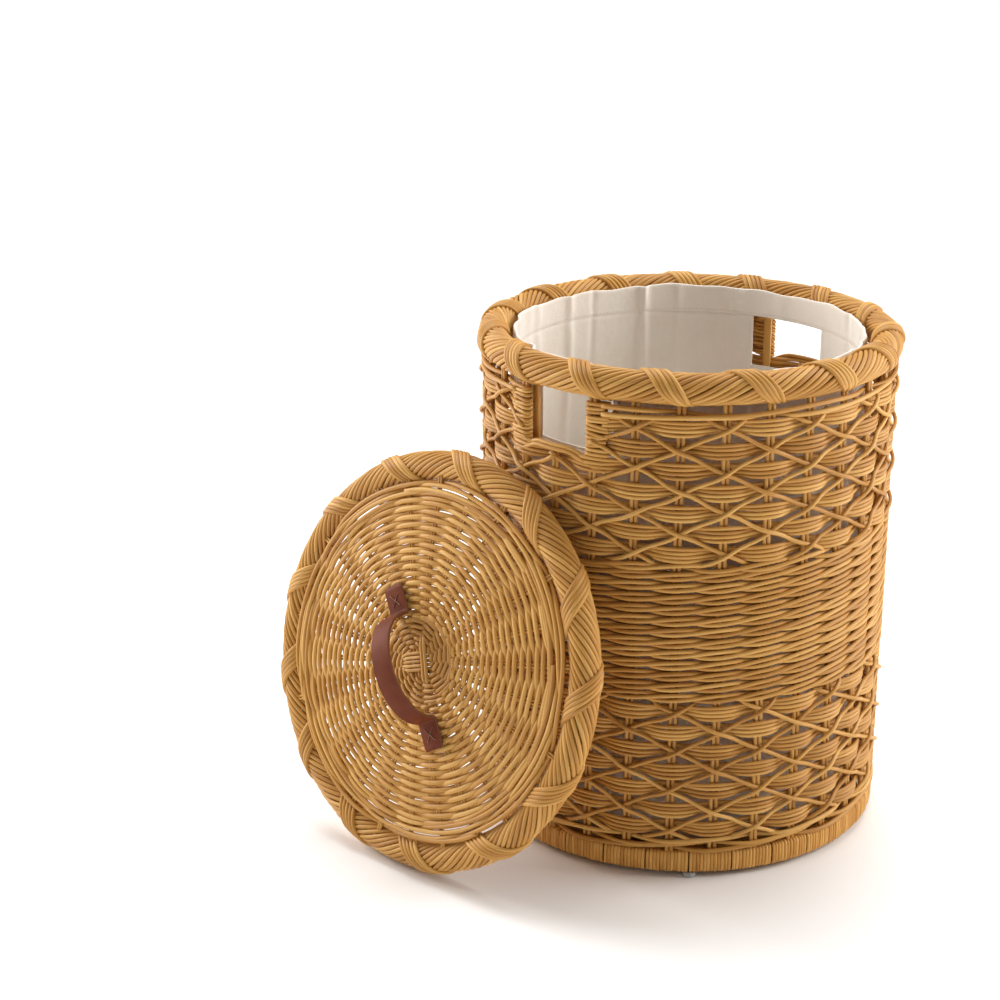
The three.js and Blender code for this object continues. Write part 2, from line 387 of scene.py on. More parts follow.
def put(name, weave, body, slot, material, *nodes):
    """Builds a weave and dresses it."""
    return finish_piece(weave.build(name), body, slot, material, *nodes)


def put_rattan(name, weave, *nodes):
    """Builds a weave of peeled cane on the body of its place."""
    return put(name, weave, weave.place.body, "rattan", rattan, *nodes)


def on_wall(angle, radius, height):
    """Points at an angle and radius about the axis, and their outward directions."""
    zero = np.zeros_like(angle)
    outward = np.stack([np.sin(angle), -np.cos(angle), zero], axis=1)
    lift = np.stack([zero, zero, height + zero], axis=1)
    return outward * np.reshape(radius + zero, (-1, 1)) + lift, outward


def on_disc(angle, radius, height):
    """Points over a flat disc, with the angle measured from X, and its upward normals."""
    zero = np.zeros_like(angle)
    path = np.stack([radius * np.cos(angle), radius * np.sin(angle), height + zero], axis=1)
    return path, np.stack([zero, zero, zero + 1], axis=1)


def wobble(angle, size, waves=(2, 3, 5, 8, 13)):
    """A small irregular drift that closes on itself after one turn."""
    return sum(
        size * random.normal() / len(waves) ** 0.5 * np.sin(wave * angle + random.random() * tau)
        for wave in waves
    )


# Materials


def node_material(name):
    """A node material, its maker of nodes, its maker of links to the shader, and the shader."""
    material = bpy.data.materials.new(name)
    material.use_nodes = True
    tree = material.node_tree
    shader = tree.nodes["Principled BSDF"]

    def node(kind, values=(), **links):
        made = tree.nodes.new("ShaderNode" + kind)
        for key, value in dict(values).items():
            if isinstance(key, str) and hasattr(made, key):
                setattr(made, key, value)
            else:
                made.inputs[key].default_value = value
        for key, source in links.items():
            target = made.inputs[int(key[1:])] if key[1:].isdigit() else made.inputs[key]
            tree.links.new(source, target)
        return made

    def link(source, socket):
        tree.links.new(source, shader.inputs[socket])

    return material, node, link, shader


def settle(made, values):
    """Sets uniform values on a node's own sockets."""
    for socket, value in values.items():
        made.inputs[socket].default_value = value


def noise(node, place, scale, detail, **more):
    return node("TexNoise", {"Scale": scale, "Detail": detail, **more}, Vector=place).outputs["Fac"]


def colour_ramp(node, factor, stops):
    """A ramp of linear colours at the given places."""
    ramp = node("ValToRGB", Fac=factor)
    elements = ramp.color_ramp.elements
    while len(elements) < len(stops):
        elements.new(0.5)
    for element, (place, colour) in zip(elements, stops):
        element.position = place
        element.color = (*colour, 1)
    return ramp.outputs["Color"]


def cane_material(name, colours, roughness=0.46):
    """Peeled cane: each cane has its own tint, with drifting patches and fine grain along it."""
    material, node, link, shader = node_material(name)
    cane = node("Attribute", {"attribute_name": "cane"}).outputs["Vector"]
    tint = node("Attribute", {"attribute_name": "tint"}).outputs["Fac"]
    shift = node("Math", {"operation": "MULTIPLY", 1: 40.0}, i0=tint).outputs[0]
    apart = node("CombineXYZ", i0=shift, i1=shift).outputs[0]

    def noise_along(along, across, detail):
        scale = node("VectorMath", {"operation": "MULTIPLY", 1: (along, across, across)}, i0=cane)
        moved = node("VectorMath", {"operation": "ADD"}, i0=scale.outputs[0], i1=apart)
        return noise(node, moved.outputs[0], 1.0, detail)

    patches = noise_along(14, 60, 3.0)
    grain = noise_along(45, 2600, 4.0)
    tinted = node("Math", {"operation": "MULTIPLY_ADD", 1: 0.34, 2: 0.1}, i0=tint).outputs[0]
    patched = node("Math", {"operation": "MULTIPLY_ADD", 1: 0.55}, i0=patches, i2=tinted).outputs[0]
    mixed = node("Math", {"operation": "MULTIPLY_ADD", 1: 0.22}, i0=grain, i2=patched).outputs[0]
    link(colour_ramp(node, mixed, colours), "Base Color")
    rough = node("MapRange", {"To Min": roughness - 0.08, "To Max": roughness + 0.16}, Value=grain)
    link(rough.outputs[0], "Roughness")
    bump = node("Bump", {"Strength": 0.35, "Distance": 0.0003}, Height=grain)
    link(bump.outputs[0], "Normal")
    shader.inputs["Specular IOR Level"].default_value = 0.45
    return material


def cotton_material(name, colour, worn, outer=(1, 1, 1)):
    """Plain-woven cotton: slubs along both threads, soft creases and uneven shade, with painted warm light
    multiplied onto the outer face.
    """
    material, node, link, shader = node_material(name)
    place = node("TexCoord").outputs["Object"]
    flat = node("Attribute", {"attribute_name": "cane"}).outputs["Vector"]

    def slubs(along, across):
        scale = node("VectorMath", {"operation": "MULTIPLY", 1: (along, across, 1)}, i0=flat)
        return noise(node, scale.outputs[0], 1.0, 2.0)

    soft = noise(node, place, 11.0, 4.0)
    threads = node("Math", {"operation": "ADD"}, i0=slubs(90, 1500), i1=slubs(1500, 90)).outputs[0]
    shade = node("Math", {"operation": "MULTIPLY_ADD", 1: 0.25}, i0=threads, i2=soft).outputs[0]
    face = colour_ramp(node, shade, [(0.5, worn), (0.95, colour)])
    # Painted warm light: the outer face (third cane value 1) is multiplied by the outer colour, standing in
    # for warm light bounced off the canes and let through the cloth.
    outside = node("SeparateXYZ", i0=flat).outputs[2]
    tint = node("Mix", {"data_type": "RGBA", "blend_type": "MULTIPLY"}, Factor=outside, i6=face)
    tint.inputs[7].default_value = (*outer, 1)
    link(tint.outputs[2], "Base Color")
    creases = noise(node, place, 42.0, 5.0, Roughness=0.6)
    fine = node("Bump", {"Strength": 0.35, "Distance": 0.0005}, Height=threads)
    bump = node("Bump", {"Strength": 0.55, "Distance": 0.0022}, Height=creases, Normal=fine.outputs[0])
    link(bump.outputs[0], "Normal")
    values = {
        "Roughness": 0.9,
        "Sheen Weight": 0.1,
        "Subsurface Weight": 0.8,
        "Subsurface Radius": (0.006, 0.005, 0.0045),
    }
    settle(shader, values)
    return material


def leather_material():
    """Smooth red-brown leather, with a pebbled face and pale raw edges."""
    material, node, link, shader = node_material("strap_leather")
    cane = node("Attribute", {"attribute_name": "cane"}).outputs["Vector"]
    across = node("SeparateXYZ", i0=cane).outputs[1]
    edge = node("Math", {"operation": "ABSOLUTE"}, i0=across).outputs[0]
    start = STRAP_WIDTH / 2 * MM
    raw = node("MapRange", {"From Min": start - 0.0006, "From Max": start - 0.0001}, Value=edge)
    cloud = noise(node, cane, 45.0, 4.0)
    face = colour_ramp(node, cloud, [(0.3, (0.12, 0.024, 0.008)), (0.7, (0.165, 0.038, 0.013))])
    mix = node("Mix", {"data_type": "RGBA"}, Factor=raw.outputs[0], i6=face)
    mix.inputs[7].default_value = (0.2, 0.085, 0.045, 1)
    link(mix.outputs[2], "Base Color")
    pores = node("TexVoronoi", {"Scale": 900.0}, Vector=cane).outputs["Distance"]
    bump = node("Bump", {"Strength": 0.25, "Distance": 0.0003}, Height=pores)
    link(bump.outputs[0], "Normal")
    settle(shader, {"Roughness": 0.58, "Specular IOR Level": 0.16})
    return material


def plastic_material():
    """Translucent white plastic."""
    material, node, link, shader = node_material("clear_plastic")
    place = node("TexCoord").outputs["Object"]
    scuffs = noise(node, place, 300.0, 3.0)
    rough = node("MapRange", {"To Min": 0.25, "To Max": 0.5}, Value=scuffs)
    link(rough.outputs[0], "Roughness")
    settle(shader, {"Base Color": (0.86, 0.86, 0.84, 1), "Transmission Weight": 0.5, "IOR": 1.45})
    return material


HONEY = [
    (0.18, (0.24, 0.088, 0.011)),
    (0.42, (0.43, 0.190, 0.030)),
    (0.64, (0.55, 0.270, 0.052)),
    (0.9, (0.69, 0.390, 0.100)),
]
# Painted light: the foot's cane is a copy of the wall's honey made 12% lighter, making up for the dim light
# that reaches the foot.
HONEY_FOOT_PAINTED_LIGHT = [(place, tuple(1.12 * part for part in colour)) for place, colour in HONEY]
rattan = cane_material("rattan", HONEY)
wrap_cane = cane_material("wrap_cane", HONEY_FOOT_PAINTED_LIGHT, 0.52)
core_cane = cane_material("core_cane", HONEY_FOOT_PAINTED_LIGHT, 0.6)
# The cotton's last colour is painted warm light, multiplied onto the liner's outer face where it shows
# through the weave.
cotton = cotton_material("cotton", (0.88, 0.82, 0.75), (0.81, 0.735, 0.655), (1.0, 0.91, 0.82))
thread = cotton_material("thread", (0.30, 0.14, 0.09), (0.2, 0.08, 0.05))
liner_thread = cotton_material("liner_thread", (0.72, 0.68, 0.62), (0.66, 0.62, 0.56))
leather = leather_material()
plastic = plastic_material()


# Basket wall


def weave_wave(position):
    """+1 in front of a stake, -1 behind it, with flatter tops than a plain cosine."""
    wave = np.cos(pi * position)
    return wave * (1.28 - 0.28 * wave * wave)


def three_rods(position):
    """For a rod over two stakes and behind one: how far out it is and how high, from -1 to 1."""
    place = np.mod(position, 3)
    from_stake = np.minimum(place, 3 - place)
    out = 1 - 2 * np.exp(-((from_stake / 0.5) ** 2))
    return out, -np.sin(tau * place / 3) / sin(tau / 3)


def stake_canes(index):
    """The two canes of one stake, or of a short one under a hand hole."""
    weave = Weave(BASKET)
    top = SILL - 1 if index in SHORT_STAKES else STAKE_TOP
    height = np.linspace(STAKE_BOTTOM, top, 26)
    for side in (-1, 1):
        drift = 0.25 * np.sin(height / 37 + random.random() * tau)
        angle = index * STAKE_STEP + (side * STAKE_GAP + drift) / STAKE_RADIUS
        weave.along_wall(angle, STAKE_RADIUS, height, oval(STAKE_CANE, sides=8))
    return weave


def stake_nodes():
    """The CAD's stakes in order about the axis."""
    names = [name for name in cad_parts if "stake" in name]
    place = Vector((rim_middle.x, rim_middle.y))

    def turn(name):
        spot = middle(name).xy - place
        return round(np.arctan2(spot.x, -spot.y) % tau / STAKE_STEP) % STAKES

    return {turn(name): name for name in names}


def make_stakes():
    """Every stake in order, each in place of its CAD node."""
    for index, node in sorted(stake_nodes().items()):
        thing = stake_canes(index).build(node.replace("stake", "stake_canes", 1))
        finish_piece(thing, "basket", "rattan", rattan, node)


def spans_at(height):
    """The stretches of a row, in stake steps: all round, or between the hand holes."""
    if height < SILL:
        return [(0, STAKES, True)]
    return [(hole + HOLE_ROW_END, hole + STAKES / 2 - HOLE_ROW_END, False) for hole in SHORT_STAKES]


def row_level(bottom, top, row):
    """The height of the middle of a row of slabs."""
    return bottom + (row + 0.5) * (top - bottom) / OPEN_ROWS


def slab_rows(bottom, top, shift):
    """Rows of four canes each, woven over and under the stakes."""
    weave = Weave(BASKET)
    for row in range(OPEN_ROWS):
        level = row_level(bottom, top, row)
        for start, end, closed in spans_at(level):
            steps = int((end - start) * 8)
            position = np.linspace(start, end, steps, endpoint=not closed)
            angle = position * STAKE_STEP
            wave = weave_wave(position + row + shift)
            behind = (1 - wave) / 2
            sag = wobble(angle, 0.5)
            swell = 1 + 0.05 * np.sin(angle * 7 + row)
            for cane in range(SLAB_CANES):
                pitch = (SLAB_PITCH * (1 - behind) + SLAB_PITCH_BEHIND * behind) * swell
                stagger = 1.3 * behind * (1 if cane % 2 else -1)
                radius = (SLAB_FRONT + SLAB_BEHIND) / 2 + (SLAB_FRONT - SLAB_BEHIND) / 2 * wave
                drift = wobble(angle, 0.25, (7, 11, 17))
                height = level + (cane - (SLAB_CANES - 1) / 2) * pitch + sag + drift
                width = SLAB_CANE * random.uniform(0.94, 1.05)
                weave.along_wall(angle, radius + stagger, height, oval(width), closed)
    return weave


def cross_canes(bottom, top, shift):
    """Single canes that climb and fall one row a stake, crossing over the stakes left bare."""
    weave = Weave(BASKET)
    pitch = (top - bottom) / OPEN_ROWS
    for rising in (1, -1):
        for start in range(STAKES):
            if (start + shift) % 2 == 0:
                continue
            row = np.linspace(CROSS_FIRST_ROW, CROSS_LAST_ROW, 72)
            position = start + rising * row
            level = bottom + (row + 0.5) * pitch
            near = np.round(row).astype(int)
            on_top = (near + (rising > 0)) % 2
            hump = (1 + np.cos(tau * row)) / 2
            radius = CROSS_LOW + hump * (CROSS_OVER_STAKE + CROSS_OVER_CANE * on_top)
            first = 1 - smooth(CROSS_FIRST_ROW, -0.4, row)
            last = smooth(OPEN_ROWS - 0.75, CROSS_LAST_ROW, row)
            radius -= CROSS_TUCK * first + CROSS_TUCK * last
            ease = 0.9 * np.sin(tau * row) * rising
            drift = random.normal() * 0.9 + 1.0 * np.sin(row * 1.3 + random.random() * tau)
            height = level + ease * random.uniform(0.2, 1.2) + drift
            for kept in clear_of_holes(position, level):
                weave.along_wall(position[kept] * STAKE_STEP, radius[kept], height[kept], oval(CROSS_CANE))
    return weave


def clear_of_holes(position, level):
    """The runs of a cane's points that don't cross a hand hole."""
    half = STAKES / 2
    from_hole = np.abs((position + half / 2) % half - half / 2)
    open_here = (from_hole < HOLE_HALF) & (level > SILL - 4)
    kept = np.flatnonzero(~open_here)
    runs = np.split(kept, np.flatnonzero(np.diff(kept) > 1) + 1)
    return [run for run in runs if len(run) > 4]


def sill_arches():
    """The cane that arches over the top of each short stake, along the hole's sill."""
    weave = Weave(BASKET)
    for hole in SHORT_STAKES:
        for lift in (0, 3.3):
            offset = np.linspace(-ARCH_HALF, ARCH_HALF, 40)
            height = SILL + 0.5 + lift - ARCH_DROP * smooth(0.35, ARCH_HALF, np.abs(offset))
            radius = ARCH_RADIUS + 1.6 * np.cos(offset * pi / 1.3) - 0.5 * lift
            weave.along_wall((hole + offset) * STAKE_STEP, radius, height, oval(CROSS_CANE))
    return weave


def hole_edges():
    """Canes that turn back round the stakes beside each hand hole."""
    weave = Weave(BASKET)
    for hole in SHORT_STAKES:
        for side in (-1, 1):
            centre = (hole + side) * STAKE_STEP
            for height in np.arange(SILL + 2.5, UPPER_OPEN_TOP + 7, EDGE_PITCH):
                turn = np.linspace(-pi / 2, pi / 2, 11)
                tail = np.linspace(-random.uniform(11, 17), 1.2, 6)[:-1]
                toward = np.concatenate([tail, 1.3 + EDGE_REACH * np.cos(turn), tail[::-1]])
                outward = np.concatenate(
                    [tail * 0 + EDGE_DEPTH, -EDGE_DEPTH * np.sin(turn), tail * 0 - EDGE_DEPTH]
                )
                outward[:2] -= (1.6, 0.5)
                level = height + random.normal() * 0.3 + 0.06 * toward * random.normal()
                angle = centre - side * toward / STAKE_RADIUS
                path, facing = on_wall(angle, STAKE_RADIUS + outward, level)
                weave.add(path, facing + 0.01 * UP, oval(EDGE_CANE))
    return weave


def hole_uprights():
    """Flat uprights inside the wall, one at each side of a hand hole."""
    weave = Weave(BASKET)
    for hole in SHORT_STAKES:
        for side in (-1, 1):
            height = np.linspace(SILL - 18, STAKE_TOP - 1, 14)
            angle = (hole + side) * STAKE_STEP - side * 3 / STAKE_RADIUS + height * 0
            section = rounded_strip(UPRIGHT_WIDTH, UPRIGHT_DEPTH, 0.8)
            weave.along_wall(angle, UPRIGHT_RADIUS, height, section)
    return weave


def close_weave():
    """Three-rod weave, with the same step at every stake."""
    weave = Weave(BASKET)
    angle = np.linspace(0, tau, STAKES * 8, endpoint=False)
    for number in range(CLOSE_ROUNDS * 3 + 2):
        turn, rod = divmod(number, 3)
        out, high = three_rods(angle / STAKE_STEP - rod)
        level = LOWER_OPEN_TOP + (turn + 0.5) * CLOSE_PERIOD + wobble(angle, 0.35)
        if turn == CLOSE_ROUNDS:
            level = level - CLOSE_PERIOD / 4
        height = level + high * CLOSE_PERIOD / 4.1
        width = CLOSE_CANE * random.uniform(0.93, 1.04)
        weave.along_wall(angle, CLOSE_MIDDLE + CLOSE_REACH * out, height, oval(width), True)
    return weave


def wale(levels, long):
    """Long strands over several stakes and behind one, between the hand holes where there are any."""
    weave = Weave(BASKET)
    for number, level in enumerate(levels):
        for start, end, closed in spans_at(level):
            steps = int((end - start) * 8)
            position = np.linspace(start, end, steps, endpoint=not closed)
            angle = position * STAKE_STEP
            out, high = long_strand(position + number * 2, long)
            height = level + 1.5 * high + wobble(angle, 0.4, (3, 5, 8))
            weave.along_wall(angle, WALE_MIDDLE + WALE_REACH * out, height, oval(WALE_CANE), closed)
    return weave


# Borders


def on_border(angle, radius, level, tube, roll):
    """Points on a rolled border, and their directions out of its tube."""
    path, outward = on_wall(angle, radius + tube * np.cos(roll), level + tube * np.sin(roll))
    return path, outward * np.cos(roll)[:, None] + UP * np.sin(roll)[:, None]


def border_under(place, radius, level):
    """The inner layer of a rolled border: canes that wind along the ring."""
    weave = Weave(place)
    angle = np.linspace(0, tau, 260, endpoint=False)
    for cane in range(UNDER_CANES):
        roll = cane * tau / UNDER_CANES + UNDER_TURNS * angle + wobble(angle, 0.03)
        tube = UNDER_TUBE + wobble(angle, 0.15)
        path, facing = on_border(angle, radius, level, tube, roll)
        weave.add(path, facing, oval(UNDER_CANE, sides=8), True)
    return weave


def border_bands(place, radius, level, count, phase, advance):
    """Bands of five canes over the border, from inside the ring over the top and down outside."""
    weave = Weave(place)
    roll = np.radians(np.linspace(215, -78, 34))
    tight = smooth(radians(-85), radians(10), roll) * (1 - smooth(radians(150), radians(225), roll))
    for band in range(count):
        centre = phase + band * tau / count + random.normal() * 0.012
        lean = advance / pi * random.uniform(0.92, 1.1)
        for lane in range(BAND_LANES):
            offset = lane - (BAND_LANES - 1) / 2
            spread = BAND_CANE * (0.5 + 0.5 * tight) * offset * 1.12
            sink = (1 - tight) * (1.2 + 1.4 * (lane % 2))
            tube = BAND_TUBE - sink - 0.1 * abs(offset)
            angle = centre + lean * (pi / 2 - roll) / radius + spread / (radius + tube * np.cos(roll))
            path, facing = on_border(angle, radius, level, tube, roll)
            weave.add(path, facing, oval(BAND_CANE, sides=8))
    return weave


# Foot, base and glides


def foot_wraps():
    """Narrow strips wound upright round the foot hoop, with a slit at each stake."""
    weave = Weave(BASKET)
    middle_level = (FOOT_BOTTOM + FOOT_TOP) / 2
    half_height = (FOOT_TOP - FOOT_BOTTOM) / 2 - 0.8
    turn = np.linspace(0, tau, 16, endpoint=False) + tau / 32
    across = np.sign(np.cos(turn)) * np.abs(np.cos(turn)) ** FOOT_SQUARENESS
    upward = np.sign(np.sin(turn)) * np.abs(np.sin(turn)) ** FOOT_SQUARENESS
    for stake in range(STAKES):
        for wrap in range(WRAPS_PER_STAKE):
            angle = (stake + 0.5 + (wrap + 0.2) / (WRAPS_PER_STAKE + 0.35)) * STAKE_STEP
            slope = random.normal() * 0.12 + 0.2
            grow = random.uniform(-0.25, 0.35)
            spot = angle + slope * upward * 0.001
            path, outward = on_wall(
                spot,
                FOOT_RADIUS + (FOOT_HALF_DEPTH + grow) * across,
                middle_level + (half_height + grow) * upward,
            )
            facing = outward * across[:, None] * half_height + UP * (upward[:, None] * FOOT_HALF_DEPTH)
            weave.add(path, unit(facing), oval(random.uniform(3.2, 3.5), 2.3, 8), True)
    return weave


def spoke_pairs(weave, count, start, end, level, cane, steps):
    """Pairs of straight spokes on a disc."""
    for spoke in range(count):
        for side in (-1, 1):
            radius = np.linspace(start, end, steps)
            angle = spoke * tau / count + side * cane * 0.53 / radius
            weave.along_disc(angle, radius, level(radius), oval(cane))


def twined_rows(weave, spokes, start, end, pitch, level, cane, slant, lift, steps=8):
    """Two strands that turn about each other between the spokes, in one long spiral."""
    turns = (end - start) / pitch + 0.9
    turn = np.linspace(0, turns, int(turns * spokes * steps))
    for strand in range(2):
        phase = pi * (turn * spokes + strand)
        ripple = 0.25 * np.sin(turn * 41 + strand) + 0.2 * np.sin(turn * 17.3)
        radius = np.minimum(start + pitch * turn, end) + slant * np.sin(phase) + ripple
        weave.along_disc(turn * tau, radius, level(radius) + lift * weave_wave(phase / pi), oval(cane))


def chased_rows(weave, spokes, start, end, pitch, level, section, lift):
    """Two strands half a row apart, each over the spokes that the other goes under."""
    turns = (end - start) / pitch + 1.85
    turn = np.linspace(0, turns, int(turns * spokes * 8))
    for strand in range(2):
        position = turn * spokes + strand
        ripple = 0.3 * np.sin(turn * 41 + strand) + 0.3 * np.sin(turn * 17.3 + 2 * strand)
        slant = 0.5 * np.sin(pi * position)
        radius = np.clip(start + pitch * (turn - 1 + strand / 2) + slant + ripple, start, end)
        weave.along_disc(turn * tau, radius, level(radius) + lift * weave_wave(position), section)


def long_strand(position, long):
    """For a strand over several stakes and behind one: how far out it is, and how high."""
    place = np.mod(position, long)
    from_stake = np.minimum(place, long - place)
    return 1 - 2 * np.exp(-((from_stake / 0.55) ** 2)), -np.sin(tau * place / long)


def base_level(radius):
    return BASE_LEVEL + 0 * radius


def base_mat():
    """The woven bottom: pairs of spokes with twined rows round them."""
    weave = Weave(BASKET)
    spoke_pairs(weave, BASE_SPOKES, BASE_SPOKE_START, BASE_SPOKE_END, base_level, BASE_SPOKE, 6)
    rows = (BASE_SPOKES, BASE_WEAVE_START, BASE_WEAVE_END, BASE_PITCH, base_level)
    twined_rows(weave, *rows, BASE_CANE, BASE_SLANT, BASE_LIFT, steps=6)
    return weave


def base_centre():
    """The crossed canes that close the middle of the base."""
    weave = Weave(BASKET)
    along = np.linspace(-BASE_CROSS_REACH, BASE_CROSS_REACH, 6)
    for layer, turn in ((-1, 0.0), (1, pi / 2)):
        height = np.full(len(along), BASE_LEVEL + layer * BASE_CROSS_LAYER)
        for lane in range(BASE_CROSS_LANES):
            across = (lane - (BASE_CROSS_LANES - 1) / 2) * CENTRE_PITCH
            weave_cross(weave, along, across, height, turn)
    return weave


def glide(node):
    """A low round foot with a soft edge, from its CAD box."""
    low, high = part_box(node)
    radius = (high.x - low.x) / 2
    tall = high.z - low.z
    sides = GLIDE_SIDES
    turn = np.arange(sides) * tau / sides
    centre = (low + high) / 2
    rings = []
    for out, up in GLIDE_PROFILE:
        ring, _ = on_disc(turn, radius * out, low.z + tall * up)
        rings.append(ring + (centre.x, centre.y, 0))
    mesh = bpy.data.meshes.new("glide_foot")
    points = np.concatenate(rings)
    faces = []
    for first in range(0, (len(rings) - 1) * sides, sides):
        for side in range(sides):
            left, right = first + side, first + (side + 1) % sides
            faces.append((left, right, right + sides, left + sides))
    faces.append(tuple(reversed(range(sides))))
    faces.append(tuple(range((len(rings) - 1) * sides, len(rings) * sides)))
    mesh.from_pydata(points.tolist(), [], faces)
    mesh.shade_smooth()
    thing = bpy.data.objects.new("glide_foot" + node[-2:], mesh)
    bpy.context.collection.objects.link(thing)
    return thing


# Lid


def lid_level(radius):
    """The height of the lid's spokes, which rise in a low crown."""
    return LID_EDGE_LEVEL + LID_CROWN * (1 - smooth(LID_FLAT_RADIUS, 162, radius))


def lid_spokes():
    """The pairs of spokes at the lid's edge, and half as many nearer the middle."""
    weave = Weave(LID)
    spoke_pairs(weave, LID_SPOKES, LID_WEAVE_START - 6, LID_SPOKE_END, lid_level, LID_SPOKE, 14)
    spoke_pairs(weave, LID_SPOKES // 2, 12, LID_WEAVE_START, lid_level, LID_SPOKE, 6)
    return weave


def lid_weave():
    weave = Weave(LID)
    rows = (LID_SPOKES, LID_WEAVE_START, LID_WEAVE_END, LID_ROW_PITCH, lid_level)
    chased_rows(weave, *rows, oval(LID_STRAND, LID_STRAND_DEPTH), LID_LIFT)
    return weave


def lid_centre():
    """The crossed canes in the middle, and the first rings round them."""
    weave = Weave(LID)
    rows = (LID_SPOKES // 2, LID_RING_START, LID_WEAVE_START - 1, LID_RING_PITCH, lid_level)
    twined_rows(weave, *rows, LID_RING_CANE, LID_RING_SLANT, LID_LIFT)
    along = np.linspace(-CENTRE_REACH, CENTRE_REACH, 28)
    dip = 3.2 * smooth(13, 25, np.abs(along))
    top = lid_level(np.array([0.0]))[0] + 0.4
    under = smooth(0.5, 5.5, along)
    for lane in range(CENTRE_LANES):
        across = (lane - (CENTRE_LANES - 1) / 2) * CENTRE_PITCH
        narrow = across * (1 - 0.25 * smooth(12, 25, np.abs(along)))
        weave_cross(weave, along, narrow, top + CENTRE_RISE * (1 - under) - dip, CENTRE_TURN)
        over = CENTRE_RISE if across < -CENTRE_PITCH / 2 else 0
        weave_cross(weave, along, narrow, top + over - dip, CENTRE_TURN + pi / 2)
    return weave


def weave_cross(weave, along, across, height, turn):
    """One straight cane of a centre, turned about the middle."""
    x = along * cos(turn) - across * sin(turn)
    y = along * sin(turn) + across * cos(turn)
    path = np.stack([x, y, height], axis=1)
    weave.add(path, np.tile(UP, (len(path), 1)), oval(CENTRE_CANE))


def lid_wale():
    """Long strands round the edge of the lid's weave."""
    weave = Weave(LID)
    for number in range(LID_WALE_STRANDS):
        start = number * 1.7
        turn = np.linspace(start, start + tau * 1.04, LID_SPOKES * 8)
        out, high = long_strand(turn * LID_SPOKES / tau + number, 4)
        radius = LID_WALE_START + LID_WALE_STEP * number + 1.2 * high
        weave.along_disc(turn, radius, lid_level(radius) + LID_WALE_REACH * out, oval(LID_WALE_CANE))
    return weave


# Strap


def strap_height(place):
    """The height of the strap's underside: flat at the tabs, with an arch between them."""
    root = STRAP_SPAN / 2 - STRAP_TAB / 2
    return STRAP_RISE * np.maximum(0, 1 - (place / root) ** 2) ** 0.45


def strap_frame(along, across, height):
    """Points in the lid's frame from places along and across the strap."""
    turn = pi / 2 + STRAP_TURN
    return np.stack(
        [
            STRAP_MIDDLE[0] + along * cos(turn) - across * sin(turn),
            STRAP_MIDDLE[1] + along * sin(turn) + across * cos(turn),
            STRAP_BASE + height,
        ],
        axis=1,
    )


def strap():
    """The leather strap, with a flat tab at each end."""
    weave = Weave(LID)
    end = STRAP_SPAN / 2 + STRAP_TAB / 2
    root = STRAP_SPAN / 2 - STRAP_TAB / 2
    arch = -root * np.cos(np.linspace(0, pi, 61))
    place = np.concatenate([np.linspace(-end, -root - 1, 9), arch, np.linspace(root + 1, end, 9)])
    height = strap_height(place) + STRAP_THICKNESS / 2
    for _ in range(3):
        height[1:-1] = (height[:-2] + 2 * height[1:-1] + height[2:]) / 4
    path = strap_frame(place, 0 * place, height)
    slope = unit(np.gradient(np.stack([place, height], axis=1), axis=0))
    up = strap_frame(-slope[:, 1], 0 * place, slope[:, 0]) - strap_frame(0 * place, 0 * place, 0 * place)
    from_end = end - np.abs(place)
    corner = 0.86 + 0.14 * smooth(0, 3.5, from_end)
    weave.add(path, up, rounded_strip(STRAP_WIDTH, STRAP_THICKNESS, 0.7, 4), scale=corner)
    return weave


def stitches(side):
    """The crossed threads through one tab of the strap."""
    weave = Weave(LID)
    centre = side * STRAP_SPAN / 2
    run = np.linspace(-1, 1, 9)
    for lean in (-1, 1):
        height = STRAP_THICKNESS + 0.3 - 1.0 * smooth(0.8, 1.0, np.abs(run)) + 0.25 * (lean > 0)
        path = strap_frame(centre + 7 * run, 6 * lean * run, height)
        weave.add(path, np.tile(UP, (len(path), 1)), oval(0.9, 0.7))
    return weave


# Liner


def make_pleats():
    """The liner's upright folds: place, depth, width, drift and the height where each fades out."""
    return [
        (
            (number + random.uniform(-0.4, 0.4)) * tau / PLEATS,
            random.uniform(-2.0, 7.0),
            random.uniform(0.017, 0.05),
            random.normal() * 0.1,
            random.uniform(-60, 380),
        )
        for number in range(PLEATS)
    ]


def from_window(angle):
    """The angle from the middle of the nearest hand hole."""
    return np.abs(np.angle(np.exp(2j * angle))) / 2


def liner_radius(angle, height, pleats):
    """The liner's outer face: a cylinder with soft upright folds, taut beside the windows."""
    inward = 1.3 + 0.9 * np.sin(3 * angle + 1) * smooth(60, 300, height)
    inward = inward + 0.5 * np.sin(7 * angle + 2 + height / 60) * np.sin(height / 41 + 2 * angle)
    for centre, depth, width, drift, fade in pleats:
        away = np.angle(np.exp(1j * (angle - centre - drift * (HEM_BOTTOM - height) / 430)))
        strength = 0.35 + 0.65 * smooth(fade, fade + 160, height)
        pinch = 1 - 0.55 * np.exp(-(((height - HEM_BOTTOM) / 6) ** 2))
        inward = inward + depth * strength * pinch * np.exp(-((away / width) ** 2))
    taut = 1 - (1 - smooth(radians(15), radians(26), from_window(angle))) * smooth(320, 385, height)
    belly = LINER_BELLY * smooth(30, 110, height) * (1 - smooth(300, 430, height))
    return LINER_RADIUS + belly - np.maximum(0, inward) * (0.12 + 0.88 * taut)


def cloth_place(angle, height):
    """Where a point lies on the flat cloth, for the threads of its material."""
    return np.stack([angle * LINER_RADIUS, height, 0 * height], axis=-1).reshape(-1, 3) * MM


